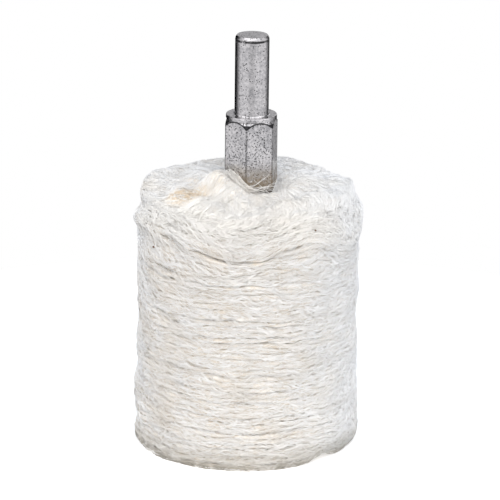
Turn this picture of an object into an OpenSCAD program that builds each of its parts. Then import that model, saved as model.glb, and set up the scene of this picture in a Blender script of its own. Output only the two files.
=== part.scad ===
// Cylindrical cloth polishing wheel on a drill spindle, standing on its lower end.
// Round plies of cotton are clamped on a threaded stud and fan out to a straight rim.
// The origin is the centre of the face it stands on, and +Z runs up the spindle.

/* [Spindle] */
// Diameter of the plain shank that goes into the drill chuck
shank_d = 6; // [3:0.1:8]
// Length of the plain shank above the collar
shank_l = 14.2; // [8:0.1:40]
// Width across the flats of the hexagonal body
hex_af = 8.5; // [8.2:0.1:10]
// Length of the hexagonal body, collar included
hex_l = 15; // [6:0.1:30]
// Diameter of the round collar turned on top of the hexagon
collar_d = 8.98; // [8.6:0.02:9.4]
// Thickness of that collar
collar_t = 0.62; // [0.3:0.02:1]

/* [Cloth] */
// Diameter of the cloth wheel along its straight side
wheel_d = 39.2; // [36:0.1:60]
// Height of the cloth wheel at its rim
wheel_h = 46.2; // [45:0.1:50]
// Number of cloth plies
ply_count = 48; // [40:1:54]
// Extra radius of the loose plies just below the crown
bulge = 0.65; // [0:0.05:1.5]
// How much shorter every second ply is at its rim
fray = 0.2; // [0:0.05:0.5]
// Extra trim at the rims of the two end plies
edge_trim = 0.7; // [0:0.05:1.5]

/* [Clamp] */
// Height of the lowest clamped ply above the base
core_low = 6.3; // [6.2:0.1:8]
// Height of the top of the clamped plies
core_high = 43.5; // [40:0.1:44.5]
// Thickness of the washer under the hexagon
upper_washer_t = 1; // [0.8:0.1:1.6]
// Outer diameter of the washer under the hexagon
upper_washer_d = 10; // [9:0.1:10]
// Outer diameter of the fender washer at the lower end
lower_washer_d = 15; // [12:0.1:15]
// Thickness of the fender washer
lower_washer_t = 1.2; // [0.8:0.1:1.2]
// Outer diameter of the split spring washer
lock_washer_d = 9.2; // [8:0.1:10]
// Thickness of the split spring washer
lock_washer_t = 1.2; // [0.8:0.1:1.2]
// Width across the flats of the thin nut
nut_af = 8; // [7:0.1:9]
// Thickness of the thin nut
nut_t = 2.7; // [2:0.1:2.7]

/* [Thread] */
// Outer diameter of the stud's thread
stud_d = 5; // [4:0.1:5]
// Pitch of the thread
pitch = 0.8; // [0.6:0.1:1]
// Number of thread turns at the stud's lower end
turns = 9; // [4:1:12]

/* [Hidden] */
$fn = 96;

// Heights along the spindle, from the base up
nut_z = core_low - lower_washer_t - lock_washer_t - nut_t;
stud_z = nut_z - 0.6;
hex_z = core_high + upper_washer_t;
hex_top = hex_z + hex_l;
spindle_top = hex_top + shank_l;

// Spindle details
shank_r = shank_d / 2;
stud_r = stud_d / 2;
thread_depth = 0.54 * pitch;
end_bevel = 0.28;
end_bevel_l = 0.62;
root_cove = 0.3;
collar_round = 0.16;
hex_r = hex_af / 2 / cos(30);
corner_r = hex_r - 0.06;
cone_slope = 0.7;
cone_drop = 0.66;

// Bores that pass over the stud, and the edge breaks on the hardware
bore_r = stud_r + 0.15;
nut_bore_r = stud_r + 0.05;
edge_break = 0.12;
split_w = 0.9;

// Where the plies are held flat, and where they have fanned out to the rim
lower_flat_r = lower_washer_d / 2 + 0.2;
upper_flat_r = upper_washer_d / 2 + 0.2;
lower_fan_r = 13.5;
upper_fan_r = 9.5;
fan_steps = 8;

// Air between neighbouring plies, at the core and at the rim
core_gap = 0.02;
rim_gap = 0.12;

// Rim outline: the soft cut edge, the loose plies and the trimmed end plies
soft_edge = 0.25;
bulge_ply = 0.885 * ply_count;
bulge_spread = 2.2;
trim_plies = 3;

function ply_name(i) = str("cloth_ply_", i < 9 ? "0" : "", i + 1);

HARDWARE = ["spindle", "upper_washer", "lower_washer", "lock_washer", "end_nut"];

function mix(a, b, t) = a + (b - a) * t;
function clamp01(t) = min(max(t, 0), 1);
function ease(t) = clamp01(t) * clamp01(t) * (3 - 2 * clamp01(t));

// Share of the way up the stack at boundary u, where boundary u lies under ply u
function share(u) = u / ply_count;

// Height of boundary u where the plies are clamped, and at the rim
function core_z(u) = mix(core_low, core_high, share(u));
function rim_z(u) = wheel_h * share(u);

// How far boundary u has fanned out at radius r, from 0 at the clamp to 1 at the rim
function fan(r, u) =
    let (flat_r = mix(lower_flat_r, upper_flat_r, share(u)))
    let (fan_r = mix(lower_fan_r, upper_fan_r, share(u)))
    ease((r - flat_r) / (fan_r - flat_r));

function boundary(r, u) = mix(core_z(u), rim_z(u), fan(r, u));
function ply_top(r, i) = boundary(r, i + 1) - mix(core_gap, rim_gap, fan(r, i + 1));

// Radius of the cut edge of ply i
function end_trim(i) = pow(clamp01(1 - min(i, ply_count - 1 - i) / trim_plies), 2);
function loose(i) = exp(-pow((i - bulge_ply) / bulge_spread, 2));
function rim_r(i) = wheel_d / 2 - fray * (i % 2) + bulge * loose(i) - edge_trim * end_trim(i);

// Radii at which every ply's profile has a point, the same for all so that none cross
fan_radii = [for (k = [0 : fan_steps]) mix(upper_flat_r, lower_fan_r, k / fan_steps)];
profile_radii = concat([bore_r], fan_radii);

function ply_lower(i, edge_r) =
    [for (r = concat(profile_radii, [edge_r])) [r, boundary(r, i)]];
function ply_upper(i, edge_r) =
    [for (r = concat(profile_radii, [edge_r])) [r, ply_top(r, i)]];
function reversed(list) = [for (k = [len(list) - 1 : -1 : 0]) list[k]];

// Soft outer edge of ply i, between its lower and upper faces
function ply_nose(i) =
    let (low = boundary(rim_r(i), i))
    let (high = ply_top(rim_r(i), i))
    [[rim_r(i), mix(low, high, 0.3)], [rim_r(i), mix(low, high, 0.7)]];

module cloth_ply(i) {
    edge_r = rim_r(i) - soft_edge;
    color(i % 2 == 0 ? "ivory" : "linen")
        rotate_extrude()
            polygon(concat(ply_lower(i, edge_r), ply_nose(i), reversed(ply_upper(i, edge_r))));
}

// Ring grooves that stand for the thread, from the stud's end upwards
function thread_points() = [
    for (k = [0 : turns - 1])
        for (p = [[stud_r, 0.1], [stud_r - thread_depth, 0.5], [stud_r, 0.9]])
            [p[0], stud_z + pitch * (k + 0.5 + p[1])]
];

// Cove between the collar's face and the shank
function cove_points() = [
    for (a = [0 : 30 : 90])
        [shank_r + root_cove * (1 - sin(a)), hex_top + root_cove * (1 - cos(a))]
];

// Rounded upper edge of the collar
function collar_points() = [
    for (a = [0 : 30 : 90])
        [
            collar_d / 2 - collar_round * (1 - cos(a)),
            hex_top - collar_round * (1 - sin(a))
        ]
];

module turned_profile() {
    stud = concat(
        [[0, stud_z], [stud_r - thread_depth, stud_z]],
        thread_points(),
        [[stud_r, hex_z + 0.5]]
    );
    collar = concat(
        [[shank_r, hex_z + 0.5], [shank_r, hex_top - collar_t], [collar_d / 2, hex_top - collar_t]],
        collar_points()
    );
    end = [
        [shank_r, spindle_top - end_bevel_l],
        [shank_r - 0.2 * end_bevel, spindle_top - 0.6 * end_bevel_l],
        [shank_r - end_bevel, spindle_top],
        [0, spindle_top]
    ];
    polygon(concat(stud, collar, cove_points(), end));
}

// Cone that chamfers the hexagon's upper corners, and the round that breaks its long edges
module corner_limit() {
    cone_top = hex_top - collar_t;
    cone_r = hex_af / 2 + cone_slope * (collar_t - cone_drop);
    cone_foot = cone_top - (corner_r - cone_r) / cone_slope;
    rotate_extrude()
        polygon([[0, hex_z], [corner_r, hex_z], [corner_r, cone_foot], [cone_r, cone_top], [0, cone_top]]);
}

module hexagon(af, h) {
    cylinder(r = af / 2 / cos(30), h = h, $fn = 6);
}

module spindle() {
    color("silver") {
        rotate_extrude() turned_profile();
        intersection() {
            translate([0, 0, hex_z]) rotate([0, 0, 30]) hexagon(hex_af, hex_l);
            corner_limit();
        }
    }
}

// Flat ring with broken edges
module ring(bore, outer, t) {
    rotate_extrude()
        polygon([
            [bore, 0],
            [outer - edge_break, 0],
            [outer, edge_break],
            [outer, t - edge_break],
            [outer - edge_break, t],
            [bore, t]
        ]);
}

module upper_washer() {
    color("gray")
        translate([0, 0, core_high])
            ring(bore_r, upper_washer_d / 2, upper_washer_t);
}

module lower_washer() {
    color("gray")
        translate([0, 0, core_low - lower_washer_t])
            ring(bore_r, lower_washer_d / 2, lower_washer_t);
}

module lock_washer() {
    color("dimgray")
        translate([0, 0, nut_z + nut_t])
            difference() {
                ring(bore_r, lock_washer_d / 2, lock_washer_t);
                translate([0, 0, lock_washer_t / 2])
                    rotate([25, 0, 0])
                        translate([0, -split_w / 2, -lock_washer_t])
                            cube([lock_washer_d, split_w, 2 * lock_washer_t]);
            }
}

module end_nut() {
    corner = nut_af / 2 / cos(30);
    flat_drop = 0.35;
    color("darkgray")
        translate([0, 0, nut_z])
            difference() {
                intersection() {
                    hexagon(nut_af, nut_t);
                    rotate_extrude()
                        polygon([
                            [0, 0],
                            [nut_af / 2 - 0.1, 0],
                            [corner, flat_drop],
                            [corner, nut_t - flat_drop],
                            [nut_af / 2 - 0.1, nut_t],
                            [0, nut_t]
                        ]);
                }
                translate([0, 0, -1]) cylinder(r = nut_bore_r, h = nut_t + 2);
            }
}

spindle();
upper_washer();
lower_washer();
lock_washer();
end_nut();
for (i = [0 : ply_count - 1]) {
    cloth_ply(i);
}
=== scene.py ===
"""Cylindrical cotton polishing wheel on a plated drill spindle.

The spindle, washers and nut keep their solids and get their metals here. Every cloth ply
is a soft, wavy disc with a frayed edge of loose threads. The wheel stands on z = 0 with its
axis on Z. Lengths are in metres and angles in radians, unless a comment says otherwise.
"""
import math

import bpy
import numpy as np
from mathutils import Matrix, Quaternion, Vector


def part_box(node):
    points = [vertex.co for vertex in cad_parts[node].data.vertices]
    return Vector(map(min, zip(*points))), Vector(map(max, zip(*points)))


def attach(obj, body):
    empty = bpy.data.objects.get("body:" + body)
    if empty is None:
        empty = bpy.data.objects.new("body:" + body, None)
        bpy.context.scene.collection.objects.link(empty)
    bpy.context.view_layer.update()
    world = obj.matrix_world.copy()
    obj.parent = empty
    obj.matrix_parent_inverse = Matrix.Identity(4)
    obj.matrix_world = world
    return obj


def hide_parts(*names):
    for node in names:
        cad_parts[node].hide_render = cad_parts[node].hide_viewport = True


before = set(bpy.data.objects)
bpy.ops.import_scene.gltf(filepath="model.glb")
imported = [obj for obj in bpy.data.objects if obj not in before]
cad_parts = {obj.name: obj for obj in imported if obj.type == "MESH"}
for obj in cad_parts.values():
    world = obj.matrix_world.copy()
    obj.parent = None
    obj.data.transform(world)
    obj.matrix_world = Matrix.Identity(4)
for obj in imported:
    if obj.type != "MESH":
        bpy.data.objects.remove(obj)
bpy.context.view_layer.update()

MM = 0.001

# ------------------------------------------------------------------ sizes from the frame

ply_names = sorted(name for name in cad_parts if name.startswith("cloth_ply_"))
ply_count = len(ply_names)

wheel_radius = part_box(ply_names[ply_count // 2 - 4])[1].x
wheel_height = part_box(ply_names[-1])[1].z + 0.12 * MM
ply_pitch = wheel_height / ply_count

# Where the plies are clamped flat, and where they have fanned out to the rim
core_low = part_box("lower_washer")[1].z
core_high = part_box("upper_washer")[0].z
lower_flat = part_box("lower_washer")[1].x + 0.2 * MM
upper_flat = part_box("upper_washer")[1].x + 0.05 * MM
lower_fan = 13.5 * MM
upper_fan = 9.5 * MM

# The hexagon, and the collar with the cone that chamfers the hexagon under it
hex_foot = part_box("upper_washer")[1].z
hex_flat = 4.25 * MM
spindle_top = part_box("spindle")[1].z
collar_foot = spindle_top - 14.82 * MM
chamfer_top_radius = 4.222 * MM
chamfer_slope = 1.43

# Directions round the wheel, seen from the side that faces the camera
FRONT = math.radians(-80)
RIGHT = math.radians(10)

# ------------------------------------------------------------------ camera

CAMERA_TURN = math.radians(10)
CAMERA_DROP = math.radians(16.8)
CAMERA_DISTANCE = 0.8148
CAMERA_LENS = 332
CAMERA_ROLL = math.radians(0.65)
CAMERA_AIM = Vector((0.0, 0.0, 34.5 * MM))


def place_camera():
    """A long lens far back, looking a little down at the wheel."""
    data = bpy.data.cameras.new("camera")
    data.lens = CAMERA_LENS
    data.clip_end = 10
    camera = bpy.data.objects.new("camera", data)
    bpy.context.scene.collection.objects.link(camera)
    back = Vector((
        math.sin(CAMERA_TURN) * math.cos(CAMERA_DROP),
        -math.cos(CAMERA_TURN) * math.cos(CAMERA_DROP),
        math.sin(CAMERA_DROP),
    ))
    camera.location = CAMERA_AIM + back * CAMERA_DISTANCE
    camera.rotation_mode = "QUATERNION"
    level = (-back).to_track_quat("-Z", "Y")
    camera.rotation_quaternion = level @ Quaternion((0, 0, 1), CAMERA_ROLL)
    bpy.context.scene.camera = camera


place_camera()

# ------------------------------------------------------------------ shader writing


def add_node(tree, kind, settings=None, inputs=None):
    """Adds a node: its settings first, then the values and links of its sockets."""
    node = tree.nodes.new(kind)
    for name, value in (settings or {}).items():
        setattr(node, name, value)
    for slot, value in (inputs or {}).items():
        if isinstance(value, Socket):
            tree.links.new(value.socket, node.inputs[slot])
        else:
            node.inputs[slot].default_value = value
    return node


class Socket:
    """One output of a node tree, on which arithmetic adds Math nodes."""

    def __init__(self, tree, socket):
        self.tree = tree
        self.socket = socket

    def math(self, operation, *values):
        settings = {"operation": operation}
        node = add_node(self.tree, "ShaderNodeMath", settings, dict(enumerate(values)))
        return Socket(self.tree, node.outputs[0])

    def __add__(self, other):
        return self.math("ADD", self, other)

    def __radd__(self, other):
        return self.math("ADD", other, self)

    def __sub__(self, other):
        return self.math("SUBTRACT", self, other)

    def __rsub__(self, other):
        return self.math("SUBTRACT", other, self)

    def __mul__(self, other):
        return self.math("MULTIPLY", self, other)

    def __rmul__(self, other):
        return self.math("MULTIPLY", other, self)

    def __truediv__(self, other):
        return self.math("DIVIDE", self, other)

    def __rtruediv__(self, other):
        return self.math("DIVIDE", other, self)

    def __pow__(self, other):
        return self.math("POWER", self, other)

    def __rpow__(self, other):
        return self.math("POWER", other, self)


class Shader:
    """A node tree under construction, for a material or for the world."""

    def __init__(self, tree):
        self.tree = tree
        tree.nodes.clear()

    def node(self, kind, settings=None, inputs=None, output=0):
        """Adds a node and returns one of its outputs, if it has any."""
        node = add_node(self.tree, kind, settings, inputs)
        return Socket(self.tree, node.outputs[output]) if node.outputs else None

    def place(self):
        """Position on the object, in metres."""
        return self.node("ShaderNodeTexCoord", output="Object")

    def axes(self, vector):
        """The x, y and z of a vector."""
        split = add_node(self.tree, "ShaderNodeSeparateXYZ", None, {0: vector})
        return [Socket(self.tree, output) for output in split.outputs]

    def vectors(self, operation, first, second, output=0):
        """Vector arithmetic."""
        settings = {"operation": operation}
        return self.node("ShaderNodeVectorMath", settings, {0: first, 1: second}, output)

    def noise(self, vector, size, detail=2.0, roughness=0.5):
        """Soft noise from 0 to 1 whose features are about `size` metres across."""
        return self.node("ShaderNodeTexNoise", None, {
            "Vector": vector,
            "Scale": 1 / size,
            "Detail": detail,
            "Roughness": roughness,
        })

    def cells(self, vector, size):
        """Distance to the nearest of points about `size` metres apart."""
        return self.node("ShaderNodeTexVoronoi", None, {"Vector": vector, "Scale": 1 / size})

    def between(self, value, low, high, at_low=0.0, at_high=1.0):
        """Eases from at_low to at_high as value goes from low to high."""
        return self.node("ShaderNodeMapRange", {"interpolation_type": "SMOOTHSTEP"}, {
            "Value": value,
            "From Min": low,
            "From Max": high,
            "To Min": at_low,
            "To Max": at_high,
        })

    def tint(self, share, first, second):
        """Mixes two colours by share."""
        settings = {"data_type": "RGBA"}
        return self.node("ShaderNodeMix", settings, {0: share, 6: first, 7: second}, output=2)

    def bump(self, height, depth, strength):
        inputs = {"Height": height, "Distance": depth, "Strength": strength}
        return self.node("ShaderNodeBump", None, inputs)


def colour(red, green, blue):
    return (red, green, blue, 1.0)


def new_material(name):
    material = bpy.data.materials.new(name)
    material.use_nodes = True
    return material, Shader(material.node_tree)


def finish_material(shader, inputs):
    """Ends a material in one Principled shader with the given inputs."""
    surface = shader.node("ShaderNodeBsdfPrincipled", None, inputs)
    shader.node("ShaderNodeOutputMaterial", None, {"Surface": surface})


# ------------------------------------------------------------------ materials

THUMB_MARK = (-9.9 * MM, -8.6 * MM, 46.4 * MM)


def fibre_pattern(shader, place, size):
    """Fine fibres that lie round the wheel and waver a little."""
    along = shader.vectors("MULTIPLY", place, (0.16, 0.16, 1.0))
    waver = shader.noise(place, 3.2 * MM) * (0.9 * MM)
    upwards = shader.node("ShaderNodeCombineXYZ", None, {"Z": waver})
    return shader.noise(shader.vectors("ADD", along, upwards), size, 4.0, 0.62)


def cloth_colour(shader, place, fibres, clumps, shade, shadow, streak_share):
    """Colour of the cloth before it gets dirty, with painted light on its right side and on the
    front of its shoulder.
    """
    x, y, z = shader.axes(place)
    unshadowed = shader.between(fibres * 0.45 + clumps * 0.55, 0.36, 0.56)
    base = shader.tint(unshadowed, shadow, shade)
    warmth = shader.between(shader.noise(place, 9.0 * MM), 0.48, 0.72)
    base = shader.tint(warmth * 0.35, base, colour(0.84, 0.765, 0.665))

    # Painted light: whiter on its right side, where its streaks and ply shades are fainter too
    painted_light_right_side = shader.between(x + y * 0.18, 5.0 * MM, 17.0 * MM)
    base = shader.tint(painted_light_right_side * 0.6, base, colour(0.95, 0.955, 0.965))

    # Plies differ a little in shade, less so near the crown
    settled = shader.between(z, 43.5 * MM, 39.5 * MM, 0.15, 1.0)
    shades = shader.noise(shader.vectors("MULTIPLY", place, (0.04, 0.04, 1.0)), 1.1 * MM, 1.0)
    shades = shader.between(shades, 0.50, 0.66, 0.0, 0.34) * settled * (1.0 - painted_light_right_side * 0.5)
    base = shader.tint(shades, base, colour(0.80, 0.765, 0.72))

    # Short tan streaks where the weave lies open
    streaks = shader.vectors("MULTIPLY", place, (0.13, 0.13, 1.0))
    streaks = shader.between(shader.noise(streaks, 1.0 * MM, 3.0, 0.6), 0.57, 0.70)
    streaks = streaks * streak_share * (1.0 - painted_light_right_side * 0.7)
    base = shader.tint(streaks, base, colour(0.82, 0.73, 0.62))

    # Painted light: lighter and creamier on the front of the shoulder and crown, which face the
    # light
    painted_light_front_shoulder = shader.between(z, 39.5 * MM, 43.0 * MM) * shader.between(y, -4.0 * MM, -12.0 * MM)
    return shader.tint(painted_light_front_shoulder * 0.6, base, colour(0.98, 0.955, 0.915))


def cloth_stains_and_painted_shade(shader, place, fibres, clumps, base):
    """Marks on the cloth: darker towards its foot, painted shade at its lower right and on top at
    the back, and one thumb mark.
    """
    x, y, z = shader.axes(place)

    # Duller towards the bench, and grey painted shade at its lower right
    dull = shader.between(z, 5.0 * MM, 0.4 * MM) * shader.between(clumps, 0.30, 0.62, 0.4, 1.0)
    base = shader.tint(dull * 0.9, base, colour(0.64, 0.60, 0.54))
    painted_shade_lower_right = shader.between(z, 5.5 * MM, 1.0 * MM)
    painted_shade_lower_right = painted_shade_lower_right * shader.between(x + y * 0.18, 6.0 * MM, 17.0 * MM)
    base = shader.tint(painted_shade_lower_right * 0.5, base, colour(0.60, 0.60, 0.58))
    # Darker and browner still along its very bottom edge
    darkest_bottom_edge = shader.between(z, 1.3 * MM, 0.2 * MM) * shader.between(clumps, 0.28, 0.50)
    base = shader.tint(darkest_bottom_edge * 0.9, base, colour(0.38, 0.345, 0.29))

    # Painted shade: greyer on top, at the back and on the right
    painted_shade_on_top = shader.between(z, 45.4 * MM, 47.2 * MM)
    painted_shade_on_top = painted_shade_on_top * shader.between(y + x * 0.5, -9.0 * MM, 2.0 * MM)
    base = shader.tint(painted_shade_on_top * 0.4, base, colour(0.83, 0.825, 0.82))

    # One oily thumb mark on the crown
    away = shader.vectors("DISTANCE", place, THUMB_MARK, output="Value")
    mark = shader.between(away, 5.0 * MM, 1.4 * MM) * shader.between(fibres, 0.36, 0.54)
    return shader.tint(mark * 0.8, base, colour(0.84, 0.67, 0.46))


def cotton(name, shade, shadow, streak_share, fibre_size, fibre_depth):
    """Unbleached cotton, from a painted `shadow` colour in its hollows to `shade` on the rest."""
    material, shader = new_material(name)
    place = shader.place()
    fibres = fibre_pattern(shader, place, fibre_size)
    clumps = shader.noise(place, 2.4 * MM, 3.0, 0.6)
    base = cloth_colour(shader, place, fibres, clumps, shade, shadow, streak_share)
    height = fibres * 0.7 + shader.noise(place, fibre_size * 0.8) * 0.3
    finish_material(shader, {
        "Base Color": cloth_stains_and_painted_shade(shader, place, fibres, clumps, base),
        "Roughness": shader.between(clumps, 0.3, 0.7, 0.88, 0.98),
        "Normal": shader.bump(height, fibre_depth, 0.9),
        "Sheen Weight": 0.25,
        "Sheen Roughness": 0.6,
        "Specular IOR Level": 0.15,
    })
    return material


def steel_pits(shader, place, on_hexagon):
    """Pits in the plating, crowded on the hexagon and thinly scattered on the shank."""
    crowd = shader.noise(place, 1.1 * MM) + on_hexagon * 0.15
    field = shader.cells(place, 0.36 * MM) + (shader.noise(place, 0.15 * MM) - 0.5) * 0.6
    return shader.between(field, 0.43, 0.20) * shader.between(crowd, 0.46, 0.60)


def steel_lines(shader, place, mottle, on_hexagon):
    """Dark lines: a broken one a little below the end, and painted dark reflections under the
    chamfer and down the long edges.
    """
    x, y, z = shader.axes(place)
    radius = (x * x + y * y) ** 0.5
    broken = shader.between(shader.noise(place, 0.9 * MM, 3.0, 0.7), 0.40, 0.52)
    # A broken dark line a little below the end
    line_below_end = (
        shader.between(z, spindle_top - 1.05 * MM, spindle_top - 0.85 * MM)
        * shader.between(z, spindle_top - 0.50 * MM, spindle_top - 0.62 * MM)
        * broken
    )

    # How far a point lies under the chamfer, whose edge dips at each corner of the hexagon
    under = (collar_foot - (radius - chamfer_top_radius) * chamfer_slope) - z
    # Painted dark reflections: a tip under the chamfer at each corner of the hexagon, and an arc
    # along the chamfer's edge
    painted_dark_tips = shader.between(radius, 4.52 * MM, 4.62 * MM)
    painted_dark_tips = painted_dark_tips * shader.between(under, 0.46 * MM, 0.28 * MM)
    painted_dark_arcs = shader.between(under, 0.01 * MM, 0.03 * MM)
    painted_dark_arcs = painted_dark_arcs * shader.between(under, 0.36 * MM, 0.22 * MM) * 0.95
    below_collar = shader.between(z, collar_foot + 0.04 * MM, collar_foot - 0.02 * MM)
    chamfer = below_collar * (1.0 - (1.0 - painted_dark_tips) * (1.0 - painted_dark_arcs))

    # Painted dark reflection down the long corners of the hexagon
    turn = shader.node("ShaderNodeMath", {"operation": "ARCTAN2"}, {0: y, 1: x})
    corners = shader.node("ShaderNodeMath", {"operation": "COSINE"}, {0: turn * 6.0})
    painted_corner_lines = shader.between(corners, -0.965, -0.99) * shader.between(mottle, 0.36, 0.54)
    painted_corner_lines = painted_corner_lines * on_hexagon * 0.7
    return 1.0 - (1.0 - line_below_end) * (1.0 - chamfer) * (1.0 - painted_corner_lines)


def plated_steel():
    """Nickel over bar steel: satin, pitted, dark in the pits, with painted dark reflections under
    its chamfer and down its corners, and polish dirt and painted shade at its foot.
    """
    material, shader = new_material("plated_steel")
    place = shader.place()
    z = shader.axes(place)[2]
    mottle = shader.noise(place, 0.45 * MM, 4.0, 0.6)
    clouds = shader.noise(place, 2.2 * MM)
    grain = shader.noise(place, 0.12 * MM, 3.0, 0.6)
    draw_marks = shader.noise(shader.vectors("MULTIPLY", place, (1.0, 1.0, 0.08)), 0.28 * MM)
    on_hexagon = shader.between(z, collar_foot + 0.32 * MM, collar_foot - 0.08 * MM)
    pits = steel_pits(shader, place, on_hexagon)
    lines = steel_lines(shader, place, mottle, on_hexagon)

    plate = shader.tint(
        shader.between(mottle * 0.7 + clouds * 0.3, 0.32, 0.66),
        colour(0.46, 0.46, 0.47),
        colour(0.88, 0.865, 0.865),
    )
    dark_grain = shader.between(grain, 0.30, 0.48, 0.5, 0.0)
    plate = shader.tint(dark_grain, plate, colour(0.15, 0.15, 0.16))
    plate = shader.tint(pits * 0.92, plate, colour(0.04, 0.04, 0.042))
    # Dark lines, most of them painted dark reflections
    plate = shader.tint(lines * 0.95, plate, colour(0.015, 0.015, 0.017))

    # Brown polish dirt, darkest where the hexagon enters the cloth, where the near black is
    # painted shade as well as dirt
    blotches = shader.between(shader.noise(place, 1.3 * MM, 3.0, 0.7), 0.32, 0.54, 0.25, 1.0)
    dirt = shader.between(z, 52.4 * MM, 47.2 * MM) * blotches
    base = shader.tint(dirt * 0.85, plate, colour(0.22, 0.155, 0.08))
    # Near black where the hexagon enters the cloth: dirt and painted shade
    deep = shader.between(z, 47.3 * MM, 46.2 * MM)
    base = shader.tint(deep * 0.85, base, colour(0.035, 0.022, 0.012))

    rough = shader.between(grain, 0.3, 0.7, 0.07, 0.15)
    relief = grain * 0.35 + draw_marks * 0.2 - pits * 0.9
    finish_material(shader, {
        "Base Color": base,
        "Metallic": 1.0 - dirt * 0.7,
        "Roughness": rough + pits * 0.4 + dirt * 0.45 + lines * 0.3,
        "Normal": shader.bump(relief, 0.02 * MM, 0.6),
    })
    return material


def zinc_steel(name, light, dark):
    """Zinc-plated hardware, with the faint bloom that the plating has."""
    material, shader = new_material(name)
    place = shader.place()
    bloom = shader.noise(place, 1.2 * MM, 4.0, 0.65)
    grain = shader.noise(place, 0.12 * MM)
    finish_material(shader, {
        "Base Color": shader.tint(shader.between(bloom, 0.3, 0.7), dark, light),
        "Metallic": 1.0,
        "Roughness": shader.between(grain, 0.2, 0.8, 0.22, 0.42),
        "Normal": shader.bump(grain, 0.01 * MM, 0.4),
    })
    return material


def seed_husk():
    """Brown fleck of cotton husk."""
    material, shader = new_material("seed_husk")
    spots = shader.noise(shader.place(), 0.1 * MM)
    finish_material(shader, {
        "Base Color": shader.tint(spots, colour(0.10, 0.06, 0.035), colour(0.24, 0.15, 0.09)),
        "Roughness": shader.between(spots, 0.2, 0.8, 0.6, 0.8),
    })
    return material


# The plies get a darker, tanner copy of the cotton than their threads: painted shade for the gaps
# between the threads, where the plies show
ply_cotton_painted_shade = cotton(
    "ply_cotton_painted_shade",
    shade=colour(0.89, 0.845, 0.79),
    shadow=colour(0.78, 0.70, 0.60),
    streak_share=0.36,
    fibre_size=0.16 * MM,
    fibre_depth=0.10 * MM,
)
fray_cotton = cotton(
    "fray_cotton",
    shade=colour(0.975, 0.962, 0.95),
    shadow=colour(0.935, 0.915, 0.89),
    streak_share=0.2,
    fibre_size=0.2 * MM,
    fibre_depth=0.03 * MM,
)
husk = seed_husk()

metals = {
    "spindle": plated_steel(),
    "upper_washer": zinc_steel("zinc_steel", colour(0.72, 0.74, 0.77), colour(0.55, 0.56, 0.58)),
    "lock_washer": zinc_steel("spring_steel", colour(0.42, 0.42, 0.44), colour(0.24, 0.24, 0.25)),
}
metals["lower_washer"] = metals["end_nut"] = metals["upper_washer"]
for name, metal in metals.items():
    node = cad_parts[name]
    node.data.materials.clear()
    node.data.materials.append(metal)

# ------------------------------------------------------------------ shape of the wheel


def mix(first, second, share):
    return first + (second - first) * share


def ease(share):
    share = np.clip(share, 0.0, 1.0)
    return share * share * (3.0 - 2.0 * share)


def hump(value, centre, width):
    return np.exp(-(((value - centre) / width) ** 2))


def apart(angle, other):
    """Angle from other to angle the short way round."""
    return (angle - other + math.pi) % (2 * math.pi) - math.pi


def beside(angle, turn, width):
    """1 at `turn` degrees round from the front, fading over `width` degrees either side."""
    return hump(apart(angle, FRONT + math.radians(turn)), 0.0, math.radians(width))


class Drift:
    """Smooth random unevenness round the wheel and up its plies, with no seam.

    `laps` is the least and most waves in one turn, and `climb` how many plies one wave
    spans upwards. Values spread about one either side of nought.
    """

    def __init__(self, seed, laps, climb, waves=22):
        rng = np.random.default_rng(seed)
        self.laps = rng.integers(laps[0], laps[1] + 1, waves)
        self.rise = rng.normal(0.0, 2 * math.pi / climb, waves)
        self.phase = rng.uniform(0.0, 2 * math.pi, waves)

    def __call__(self, angle, level):
        total = 0.0
        for laps, rise, phase in zip(self.laps, self.rise, self.phase):
            total = total + np.cos(laps * angle + rise * level + phase)
        return total * math.sqrt(2.0 / len(self.laps))


# How high the plies lie, how far they reach, where they part, and which way threads run
sway = Drift(11, (2, 6), 22)
ruck = Drift(12, (7, 26), 5)
lumps = Drift(16, (3, 12), 9)
girth = Drift(13, (2, 9), 14)
tuftiness = Drift(14, (14, 60), 3)
edge_wander = Drift(15, (60, 150), 1.3, 30)
parting_drift = Drift(18, (4, 16), 1.6)
comb = Drift(17, (3, 14), 7)

# Places where the plies sag or ride up: turn from the front and ply level of the middle,
# rise in millimetres, width in degrees
FOLDS = (
    (-13, 41.3, -1.6, 21),
    (-62, 42.0, 0.7, 20),
    (32, 42.0, 0.5, 24),
    (150, 38.0, -1.4, 26),
    (-140, 41.0, -1.2, 22),
    (-150, 49.0, 0.8, 36),
    (75, 49.0, 1.0, 30),
    (45, -1.0, 0.9, 9),
)


def rim_height(angle, level):
    """Height of ply boundary `level` at the rim."""
    share = level / ply_count
    loose = ease((share - 0.62) / 0.25) * (1.0 - 0.6 * ease((share - 0.92) / 0.08))
    height = wheel_height * share
    height = height + (0.16 + 0.34 * loose) * MM * sway(angle, level) * ease(share / 0.12)
    height = height + 0.09 * MM * ruck(angle, level) * ease(share / 0.06)
    for turn, fold_level, rise, width in FOLDS:
        height = height + rise * MM * beside(angle, turn, width) * hump(level, fold_level, 6.0)
    return np.maximum(height, 0.0)


def fan_share(radius, level):
    """How far a boundary has fanned out at a radius: 0 at the clamp, 1 at the rim."""
    share = level / ply_count
    start = mix(lower_flat, upper_flat, share)
    end = mix(lower_fan, upper_fan, share)
    return ease((radius - start) / (end - start)) ** mix(1.0, 0.5, ease((share - 0.8) / 0.2))


def heap(angle, radius, level):
    """Cloth pushed up against the hexagon, highest at the front left of it."""
    top = ease((level / ply_count - 0.90) / 0.10)
    close = 1.0 - ease((radius - 6.0 * MM) / (5.0 * MM))
    past_washer = ease((radius - upper_flat) / (0.3 * MM))
    turn = np.degrees(apart(angle, FRONT))
    height = 1.2 + 3.5 * hump(turn, -52, 46) + 1.0 * hump(turn, 125, 40)
    height = height - 0.6 * hump(turn, 38, 24)
    return MM * height * top * close * past_washer


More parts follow.
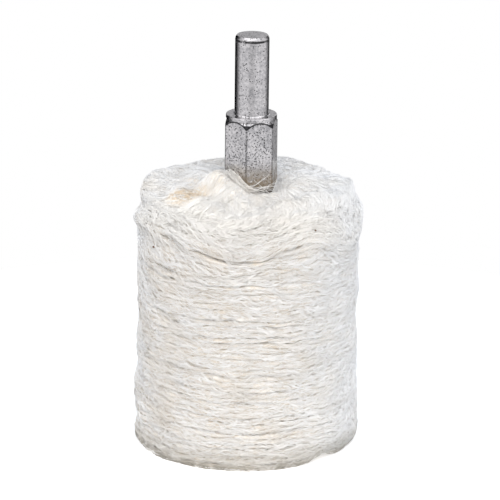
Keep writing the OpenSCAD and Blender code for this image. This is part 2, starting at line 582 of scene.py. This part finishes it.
def layer_height(angle, level, radius):
    """Height of ply boundary `level` at a radius."""
    share = level / ply_count
    core = mix(core_low, core_high, share)
    fan = fan_share(radius, level)
    crown = ease((share - 0.93) / 0.07) * fan
    height = mix(core, rim_height(angle, level), fan)
    height = height + 0.28 * MM * crown * lumps(angle, radius / ply_pitch)
    dome = 0.2 + 0.9 * ease(np.cos(angle - FRONT)) + 0.2 * ease(-np.cos(angle - RIGHT))
    dome = dome * MM * crown * ease((radius - 13.0 * MM) / (4.5 * MM))
    return height - dome + heap(angle, radius, level)


def rim_radius(angle, level):
    """Radius of the wheel's side at a ply level."""
    lean = np.cos(angle - RIGHT)
    front = ease(np.cos(angle - FRONT))
    radius = wheel_radius - (0.13 + 0.40 * lean) * MM

    # Loose plies stand proud below the crown, with a nick above them on the left
    lip = ease((level - 40.0) / 1.4) * (1.0 - ease((level - 43.5) / 3.0))
    radius = radius + 0.72 * MM * lip
    radius = radius - 0.8 * MM * ease(-lean) * hump(level, 45.0, 1.3)

    # The shoulder slopes in, most of all at the front
    shoulder = np.clip(1.0 - (ply_count - level) / 7.5, 0.0, 1.0) ** 1.7
    radius = radius - (1.2 + 2.0 * front - 0.4 * ease(-lean)) * MM * shoulder

    # The lowest plies swell on the right, spread at the front and are tucked in beside that
    foot = np.clip(1.0 - level / 4.0, 0.0, 1.0) ** 2
    radius = radius + (0.20 + 0.3 * lean) * MM * hump(level, 3.6, 2.5)
    radius = radius + (0.7 * front - 0.35 * ease(0.5 + 0.7 * lean)) * MM * foot
    radius = radius - 1.3 * MM * beside(angle, 48, 26) * foot
    return radius + 0.16 * MM * girth(angle, level)


# ------------------------------------------------------------------ meshes


def mesh_from(name, points, faces, material, smooth=True):
    """A mesh object from an array of points and a list of arrays of equal-sided faces."""
    mesh = bpy.data.meshes.new(name)
    mesh.vertices.add(len(points))
    mesh.vertices.foreach_set("co", np.ascontiguousarray(points, dtype=np.float32).ravel())
    corners = np.concatenate([group.ravel() for group in faces])
    sides = np.concatenate([np.full(len(group), group.shape[1]) for group in faces])
    starts = np.concatenate([[0], np.cumsum(sides)[:-1]])
    mesh.loops.add(len(corners))
    mesh.loops.foreach_set("vertex_index", corners.astype(np.int32))
    mesh.polygons.add(len(sides))
    mesh.polygons.foreach_set("loop_start", starts.astype(np.int32))
    mesh.polygons.foreach_set("use_smooth", np.full(len(sides), smooth))
    mesh.update(calc_edges=True)
    mesh.validate()
    mesh.materials.append(material)
    piece = bpy.data.objects.new(name, mesh)
    bpy.context.scene.collection.objects.link(piece)
    return piece


def cylindrical(angle, radius, height):
    """Points from arrays of angle, radius and height of one shape."""
    return np.stack([radius * np.cos(angle), radius * np.sin(angle), height], -1)


# ------------------------------------------------------------------ cloth plies

STEPS_ROUND = 540

# Radii at which a ply has a ring of points, closer together under the crown
INSIDE_RADII = np.array([2.65, 5.15, 5.35, 5.8, 6.5, 7.6, 9.0, 10.6, 12.4, 14.4, 16.4]) * MM
CROWN_RADII = np.concatenate([[2.65, 5.15], np.linspace(5.35, 16.6, 25)]) * MM

# How deep the rounding of a ply's cut edge is, and where its points lie round it
EDGE_ROUND = 0.42 * MM
EDGE_TURNS = np.radians([-55, -20, 20, 55])

# Each ply's cut edge ends a little under the skin of loose threads
ply_rng = np.random.default_rng(41)
ply_reach = ply_rng.normal(-0.22, 0.04, ply_count) * MM

# Plies cling together in twos and threes, and part more widely between those groups
part_width = np.where(ply_rng.random(ply_count + 1) < 0.42, 0.34, 0.08) * MM
part_width[-7:] = 0.05 * MM

# Creases in the nap: ply level, turn from the front, width in degrees, depth in millimetres
CREASES = (
    (41.3, -12, 42, 1.7),
    (43.4, -32, 20, 0.8),
    (44.9, 14, 24, 0.6),
    (36.4, -48, 20, 0.6),
    (33.2, 20, 26, 0.4),
    (28.3, -30, 30, 0.5),
    (19.2, -20, 34, 0.45),
    (11.5, -38, 24, 0.5),
    (7.4, 12, 30, 0.4),
    (2.7, 0, 80, 0.45),
)


def groove(angle, level):
    """Depth of the skin's dips where groups of plies part."""
    depth = 0.0
    for crease_level, turn, width, drop in CREASES:
        depth = depth + drop * MM * beside(angle, turn, width) * hump(level, crease_level, 0.5)
    for boundary in np.flatnonzero(part_width > 0.3 * MM):
        depth = depth + 0.42 * MM * hump(level, boundary, 0.42)
    calm = 1.0 - 0.75 * ease(np.cos(angle - RIGHT))
    return depth * calm * (0.6 + 0.4 * np.tanh(1.3 * parting_drift(angle, level)))


def parting(angle, boundary):
    """Half the gap between two plies at the rim."""
    open_here = 0.5 + 0.5 * np.tanh(1.2 * parting_drift(angle, 3.7 * boundary))
    return 0.5 * part_width[boundary] * (0.25 + 0.75 * open_here)


def ply_faces(rings, around):
    """Quads of a closed ring whose profile has `rings` points."""
    ring, step = np.meshgrid(np.arange(rings), np.arange(around), indexing="ij")
    next_ring, next_step = (ring + 1) % rings, (step + 1) % around
    corners = [
        ring * around + step,
        ring * around + next_step,
        next_ring * around + next_step,
        next_ring * around + step,
    ]
    return np.stack(corners, -1).reshape(-1, 4)


def make_ply(index):
    """One ply: a soft disc with a bore, dished between the clamp and the rim."""
    angle = np.linspace(0.0, 2 * math.pi, STEPS_ROUND, endpoint=False)
    middle = index + 0.5
    # No ply sticks out of the sloping shoulder by its upper corner
    edge = np.minimum(rim_radius(angle, middle), rim_radius(angle, index + 1.3) + 0.12 * MM)
    edge = edge + ply_reach[index]
    edge = edge + 0.06 * MM * tuftiness(angle, middle) + 0.03 * MM * edge_wander(angle, middle)
    edge = edge - 0.8 * groove(angle, middle)
    flat_end = edge - EDGE_ROUND

    def face(level, side):
        """Rings of the face at a boundary: side is 1 for a ply's lower face, -1 for its upper."""
        inside = CROWN_RADII if level > ply_count - 6 else INSIDE_RADII
        rows = []
        for step, radius in enumerate([*inside, flat_end - 0.5 * MM, flat_end]):
            rings_left = len(inside) + 1 - step
            radius = np.minimum(radius, flat_end - 0.03 * MM * rings_left)
            fan = fan_share(radius, level)
            gap = mix(0.01 * MM, parting(angle, level), fan)
            rows.append((radius, layer_height(angle, level, radius) + side * gap))
        return rows

    lower = face(index, 1.0)
    upper = face(index + 1, -1.0)
    low, high = lower[-1][1], upper[-1][1]
    cut_edge = []
    for turn in EDGE_TURNS:
        reach = flat_end + EDGE_ROUND * math.cos(turn)
        lift = mix(low, high, 0.5 + 0.5 * math.sin(turn))
        cut_edge.append((reach, lift + 0.03 * MM * edge_wander(angle + 0.4, middle + turn)))
    rows = lower + cut_edge + upper[::-1]
    points = np.concatenate([cylindrical(angle, radius, height) for radius, height in rows])
    points[:, 2] = np.maximum(points[:, 2], 0.0)
    faces = ply_faces(len(rows), STEPS_ROUND)
    return mesh_from(f"cloth_{index + 1:02d}", points, [faces], ply_cotton_painted_shade)


# ------------------------------------------------------------------ loose threads


def hexagon_edge(angle):
    """Distance from the axis to the side of the hexagon, whose flats face plus and minus x."""
    sector = math.radians(60)
    return hex_flat / np.cos(angle - sector * np.round(angle / sector))


def skin_point(angle, level, lift):
    """A point `lift` off the wheel's skin.

    Levels from 0 to ply_count climb its side. Above that they go in over the crown, and
    below 0 in under the base, one ply pitch to a level.
    """
    on_side = np.clip(level, 0.0, float(ply_count))
    inward = (np.maximum(level - ply_count, 0.0) + np.maximum(-level, 0.0)) * ply_pitch
    radius = rim_radius(angle, on_side) - groove(angle, on_side) - inward
    wall = hexagon_edge(angle) + 0.06 * MM
    climb = np.clip(wall - radius, 0.0, 2.0 * MM)
    radius = np.maximum(radius, wall)
    height = layer_height(angle, on_side, np.maximum(radius, 5.4 * MM)) + 0.6 * climb
    tip = 0.5 * math.pi * ease((level - ply_count + 3.0) / 4.0)
    radius = radius + lift * np.cos(tip)
    height = height + lift * np.sin(tip)
    under = np.clip(-level, 0.0, 1.0)
    height = height - lift * under
    return cylindrical(angle, radius, np.maximum(height, 0.04 * MM))


def lay_threads(rng, angle, level, heading, length, curl, lift_ends, lift_middle, steps):
    """Centre lines of threads that lie on the wheel's skin.

    `heading` is 0 round the wheel and a right angle straight up it. Returns an array of
    threads by points by three.
    """
    along = np.linspace(-0.5, 0.5, steps + 1)
    turn = heading[:, None] + curl[:, None] * along[None, :]
    wiggle = rng.normal(0.0, 0.24, (len(angle), steps + 1)).cumsum(1)
    turn = turn + wiggle - wiggle.mean(1, keepdims=True)
    stride = length[:, None] / steps
    round_it = (np.cos(turn) * stride).cumsum(1)
    up_it = (np.sin(turn) * stride).cumsum(1)
    round_it -= round_it[:, [steps // 2]]
    up_it -= up_it[:, [steps // 2]]
    radius = np.clip(
        wheel_radius - np.maximum(level - ply_count, 0.0) * ply_pitch, 6.0 * MM, None
    )
    angles = angle[:, None] + round_it / radius[:, None]
    levels = level[:, None] + up_it / ply_pitch
    arch = 1.0 - (2.0 * along[None, :]) ** 2
    start, end = lift_ends
    ends = mix(start[:, None], end[:, None], along[None, :] + 0.5)
    lifts = lift_middle[:, None] * arch + ends * (1.0 - arch)
    return skin_point(angles, levels, lifts)


def thread_tubes(centres, thickness):
    """Points and faces of slim three-sided tubes along the centre lines, closed at both ends."""
    count, points = centres.shape[:2]
    ahead = np.gradient(centres, axis=1)
    ahead /= np.linalg.norm(ahead, axis=2, keepdims=True) + 1e-12
    outward = centres * np.array([1.0, 1.0, 0.0]) / wheel_radius + np.array([0.0, 0.0, 0.35])
    side = np.cross(ahead, outward)
    side /= np.linalg.norm(side, axis=2, keepdims=True) + 1e-12
    up = np.cross(side, ahead)
    taper = np.sin(np.linspace(0.06, math.pi - 0.06, points)) ** 0.6
    girth_here = thickness[:, None] * taper[None, :]
    turns = np.radians([90, 210, 330])
    ring = [
        centres + girth_here[..., None] * (math.cos(turn) * side + math.sin(turn) * up)
        for turn in turns
    ]
    vertices = np.stack(ring, 2).reshape(-1, 3)
    first = (np.arange(count) * points * 3)[:, None, None]
    step = np.arange(points - 1)[None, :, None] * 3
    corner = np.arange(3)[None, None, :]
    after = (corner + 1) % 3
    quads = np.stack(
        [
            first + step + corner,
            first + step + after,
            first + step + 3 + after,
            first + step + 3 + corner,
        ],
        -1,
    ).reshape(-1, 4)
    starts = first[:, :, 0] + np.array([[2, 1, 0]])
    ends = first[:, :, 0] + (points - 1) * 3 + np.array([[0, 1, 2]])
    return vertices, quads, np.concatenate([starts, ends])


def threads_piece(name, batches, material):
    """One piece from several batches of (centre lines, thickness)."""
    points, quads, caps, count = [], [], [], 0
    for centres, thickness in batches:
        vertices, sides, ends = thread_tubes(centres, thickness)
        points.append(vertices)
        quads.append(sides + count)
        caps.append(ends + count)
        count += len(vertices)
    return mesh_from(
        name, np.concatenate(points), [np.concatenate(quads), np.concatenate(caps)], material
    )


def spread(rng, count, low, high):
    """Random values spread evenly from low to high."""
    return rng.uniform(low, high, count)


def body_heading(rng, angle, level, disorder):
    """Threads lie round the wheel on its side and turn to run in over the crown."""
    crown = ease((level - ply_count + 3.0) / 7.0)
    slant = -math.radians(15) * beside(angle, -43, 34.4) * hump(level, 34, 12)
    lay = math.radians(8) * comb(angle, level) + slant
    over = math.radians(90) + math.radians(26) * comb(angle + 1.0, level)
    return mix(lay, over, crown) + rng.normal(0.0, math.radians(disorder), len(angle))


def combed_threads(rng, count, low, high, length, thickness, lift, disorder=10, steps=5):
    """Single threads brushed down on the skin between two levels."""
    angle = spread(rng, count, 0.0, 2 * math.pi)
    level = spread(rng, count, low, high)
    heading = body_heading(rng, angle, level, disorder)
    return (
        lay_threads(
            rng,
            angle,
            level,
            heading,
            length * np.exp(rng.normal(0.0, 0.45, count)),
            rng.normal(0.0, 0.5, count),
            (spread(rng, count, -0.15, 0.5) * lift, spread(rng, count, -0.15, 0.9) * lift),
            spread(rng, count, -0.2, 1.0) * lift,
            steps,
        ),
        thickness * np.exp(rng.normal(0.0, 0.3, count)),
    )


def wisps(rng, count, strands, low, high, length, thickness, lift):
    """Locks of threads that start together, part a little and meet again."""
    angle = np.repeat(spread(rng, count, 0.0, 2 * math.pi), strands)
    level = np.repeat(spread(rng, count, low, high), strands)
    heading = np.repeat(body_heading(rng, angle[::strands], level[::strands], 10), strands)
    reach = np.repeat(length * np.exp(rng.normal(0.0, 0.35, count)), strands)
    curl = np.repeat(rng.normal(0.0, 0.6, count), strands)
    raised = np.repeat(spread(rng, count, 0.0, 1.0), strands) * lift
    many = count * strands
    angle = angle + rng.normal(0.0, 0.10 * MM, many) / wheel_radius
    level = level + rng.normal(0.0, 0.14, many)
    return (
        lay_threads(
            rng,
            angle,
            level,
            heading + rng.normal(0.0, math.radians(3.5), many),
            reach * spread(rng, many, 0.8, 1.1),
            curl + rng.normal(0.0, 0.15, many),
            (raised * 0.1, raised * spread(rng, many, 0.3, 1.2)),
            raised + rng.normal(0.0, 0.05 * MM, many),
            6,
        ),
        thickness * np.exp(rng.normal(0.0, 0.25, many)),
    )


def make_fray(index):
    """Threads that have worked loose from the cut edge of one ply."""
    rng = np.random.default_rng(500 + index)
    low, high = index - 0.3, index + 1.3
    batches = [
        combed_threads(rng, 700, low, high, 1.4 * MM, 0.049 * MM, 0.08 * MM, 14),
        combed_threads(rng, 640, low, high, 0.75 * MM, 0.031 * MM, 0.16 * MM, 42, 4),
        wisps(rng, 34, 6, low, high, 3.1 * MM, 0.044 * MM, 0.10 * MM),
    ]
    return threads_piece(f"fray_{index + 1:02d}", batches, fray_cotton)


def make_crown_fray(name, seed, low, high, count):
    """Threads brushed outwards over the top ply."""
    rng = np.random.default_rng(seed)
    batches = [
        combed_threads(rng, count, low, high, 2.8 * MM, 0.050 * MM, 0.20 * MM, 16),
        combed_threads(rng, count // 2, low, high, 1.4 * MM, 0.032 * MM, 0.34 * MM, 40),
        wisps(rng, count // 12, 6, low, high, 3.8 * MM, 0.046 * MM, 0.26 * MM),
    ]
    return threads_piece(name, batches, fray_cotton)


def make_shoulder_fray():
    """A thick nap that hides the steps between the plies at the shoulder."""
    rng = np.random.default_rng(902)
    batches = [
        combed_threads(rng, 3400, 42.6, 50.5, 2.4 * MM, 0.055 * MM, 0.17 * MM, 22),
        combed_threads(rng, 2200, 42.6, 50.5, 1.2 * MM, 0.034 * MM, 0.26 * MM, 45, 4),
        wisps(rng, 130, 6, 43.0, 49.0, 3.2 * MM, 0.044 * MM, 0.20 * MM),
    ]
    return threads_piece("shoulder_fray", batches, fray_cotton)


def make_foot_fluff():
    """Loose threads wound round the foot of the hexagon, thickest at its front left."""
    rng = np.random.default_rng(77)
    batches = []

    # Short threads: how many, turn from the front, spread either side of it, rise
    for count, turn, width, rise in (
        (460, 0.0, 180.0, 0.5),
        (300, -55.0, 45.0, 0.7),
        (40, -15.0, 30.0, 1.3),
        (90, 60.0, 25.0, 0.6),
    ):
        start = FRONT + np.radians(turn + width * spread(rng, count, -1.0, 1.0))
        length = 3.4 * MM * np.exp(rng.normal(0.0, 0.4, count))
        steps = 8
        along = np.linspace(-0.5, 0.5, steps + 1)[None, :]
        angle = start[:, None] + length[:, None] * along / (5.3 * MM)
        angle = angle + rng.normal(0.0, 0.02, angle.shape).cumsum(1)
        out = spread(rng, count, 0.08, 1.5)[:, None] * MM
        out = out + rng.normal(0.0, 0.08 * MM, angle.shape).cumsum(1)
        radius = hexagon_edge(angle) + np.maximum(out, 0.07 * MM)
        slope = rng.normal(0.0, 0.30, count)[:, None] * length[:, None] * along
        above = (rise * rng.random(count) ** 2)[:, None] * MM
        height = layer_height(angle, ply_count, np.maximum(radius, 5.5 * MM))
        height = height + above - 0.1 * MM + slope + rng.normal(0.0, 0.05 * MM, angle.shape)
        centres = cylindrical(angle, radius, np.maximum(height, hex_foot + 0.1 * MM))
        batches.append((centres, spread(rng, count, 0.04, 0.075) * MM))

    # Long wisps drawn across its front: turns and heights of both ends, bow, strands
    for start, low, end, high, bow, strands, thickness in (
        (-78.0, 49.0, -6.0, 47.5, -0.7, 4, 0.060),
        (-60.0, 48.0, 28.0, 46.5, 0.4, 5, 0.075),
        (-30.0, 47.4, 46.0, 49.6, -0.9, 3, 0.045),
        (-20.0, 47.0, 62.0, 48.4, -1.0, 2, 0.045),
        (-4.0, 46.8, 56.0, 46.8, 0.7, 4, 0.070),
    ):
        along = np.linspace(0.0, 1.0, 13)[None, :]
        drift = rng.normal(0.0, 0.05, (strands, 13)).cumsum(1)
        turn = mix(start, end, along) + 5.0 * drift + rng.normal(0.0, 5.0, (strands, 1))
        angle = FRONT + np.radians(turn)
        away = spread(rng, strands, 0.3, 1.6)[:, None] + 1.0 * drift
        radius = hexagon_edge(angle) + np.maximum(away, 0.1) * MM
        height = mix(low, high, along) + bow * np.sin(math.pi * along)
        height = height + rng.normal(0.0, 0.28, (strands, 1)) + 1.2 * drift
        centres = cylindrical(angle, radius, height * MM)
        batches.append((centres, np.full(strands, thickness * MM)))
    return threads_piece("hexagon_foot_fluff", batches, fray_cotton)


def make_husks():
    """Brown flecks of seed husk caught in the cloth."""
    rng = np.random.default_rng(78)
    count = 9
    turns = np.concatenate([[35.5, -56.0], spread(rng, count - 2, 100.0, 260.0)])
    angle = FRONT + np.radians(turns)
    level = np.concatenate([[43.3, 38.9], spread(rng, count - 2, 3.0, 50.0)])
    heading = spread(rng, count, 0.0, math.pi)
    none = np.zeros(count)
    lift = none + 0.30 * MM
    length = spread(rng, count, 0.35, 0.55) * MM
    centres = lay_threads(rng, angle, level, heading, length, none, (lift, lift), lift, 3)
    return threads_piece("seed_husks", [(centres, spread(rng, count, 0.2, 0.28) * MM)], husk)


# ------------------------------------------------------------------ making the cloth

for index, node_name in enumerate(ply_names):
    ply = make_ply(index)
    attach(ply, "root")
    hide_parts(node_name)
    fray = [make_fray(index)]
    if index == ply_count - 1:
        fray.append(make_crown_fray("crown_fray_outer", 900, 47.0, 50.6, 2300))
        fray.append(make_crown_fray("crown_fray_middle", 903, 50.0, 55.0, 2100))
        fray.append(make_crown_fray("crown_fray_inner", 901, 54.0, 63.5, 1900))
        fray.append(make_shoulder_fray())
        fray.append(make_foot_fluff())
        fray.append(make_husks())
    for piece in fray:
        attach(piece, "root")

# ------------------------------------------------------------------ floor and light


def make_floor():
    """A small round white table."""
    angle = np.linspace(0.0, 2 * math.pi, 96, endpoint=False)
    rim = cylindrical(angle, np.full(96, 0.11), np.full(96, -0.02 * MM))
    material, shader = new_material("table")
    grain = shader.noise(shader.place(), 20.0 * MM)
    matt = shader.node("ShaderNodeBsdfDiffuse", None, {
        "Color": shader.tint(grain, colour(0.86, 0.86, 0.86), colour(0.90, 0.90, 0.90)),
    })
    glow = shader.node("ShaderNodeEmission", None, {"Strength": 0.42})
    both = shader.node("ShaderNodeAddShader", None, {0: matt, 1: glow})
    shader.node("ShaderNodeOutputMaterial", None, {"Surface": both})
    floor = mesh_from("table", rim, [np.arange(96)[None, :]], material, smooth=False)


def mirrored_room(shader, towards, right, up):
    """What the metal mirrors: a bright front and ceiling, dark wings, a grey back wall."""
    front = shader.between(towards + right * 0.137, -0.84, 0.16, 0.0, 0.81)
    front = front * shader.between(towards, 0.88, 0.99, 1.0, 0.78)
    side_card = shader.between(towards, -0.86, -0.93) * shader.between(right, 0.0, 0.2) * 0.40
    back_wall = shader.between(up, 0.10, 0.18) * shader.between(up, 0.62, 0.45) * 0.50
    back_wall = back_wall * shader.between(towards, -0.80, -0.92)
    ceiling = shader.between(up, 0.55, 0.75) * 0.8
    return shader.node("ShaderNodeBackground", None, {
        "Color": colour(0.985, 0.975, 1.0),
        "Strength": front + side_card + back_wall + ceiling,
    })


def soft_room(shader, towards, up):
    """What lights the cloth: even, a little warmer and stronger from the front and above."""
    lit = shader.between(towards, -0.9, 0.9)
    return shader.node("ShaderNodeBackground", None, {
        "Color": shader.tint(lit, colour(0.79, 0.91, 1.10), colour(1.0, 0.995, 0.985)),
        "Strength": 0.76 + lit * 0.09 + shader.between(up, -0.3, 1.0) * 0.04,
    })


def light_room():
    """A white room all round, with its own look for the metal and for the cloth."""
    world = bpy.data.worlds.new("studio")
    world.use_nodes = True
    bpy.context.scene.world = world
    shader = Shader(world.node_tree)
    x, y, up = shader.axes(shader.node("ShaderNodeTexCoord", output="Generated"))
    flat_length = (x * x + y * y + 0.0001) ** 0.5
    towards = (x * math.sin(CAMERA_TURN) - y * math.cos(CAMERA_TURN)) / flat_length
    right = (x * math.cos(CAMERA_TURN) + y * math.sin(CAMERA_TURN)) / flat_length

    mirrored = mirrored_room(shader, towards, right, up)
    soft = soft_room(shader, towards, up)
    seen = shader.node("ShaderNodeBackground", None, {"Color": colour(1, 1, 1), "Strength": 1.0})
    mirror_ray = shader.node("ShaderNodeLightPath", output="Is Glossy Ray")
    camera_ray = shader.node("ShaderNodeLightPath", output="Is Camera Ray")
    unseen = shader.node("ShaderNodeMixShader", None, {0: mirror_ray, 1: soft, 2: mirrored})
    both = shader.node("ShaderNodeMixShader", None, {0: camera_ray, 1: unseen, 2: seen})
    shader.node("ShaderNodeOutputWorld", None, {"Surface": both})


def light_window():
    """A broad soft light from the front, above and a little to the right."""
    data = bpy.data.lights.new("window", "SUN")
    data.energy = 1.65
    data.angle = math.radians(45)
    data.color = (1.0, 0.985, 0.955)
    window = bpy.data.objects.new("window", data)
    window.visible_glossy = False
    window.rotation_mode = "QUATERNION"
    window.rotation_quaternion = Vector((0.18, -0.74, 0.84)).to_track_quat("Z", "Y")
    bpy.context.scene.collection.objects.link(window)


make_floor()
light_room()
light_window()
bpy.context.scene.view_settings.view_transform = "Standard"
bpy.context.scene.view_settings.look = "None"
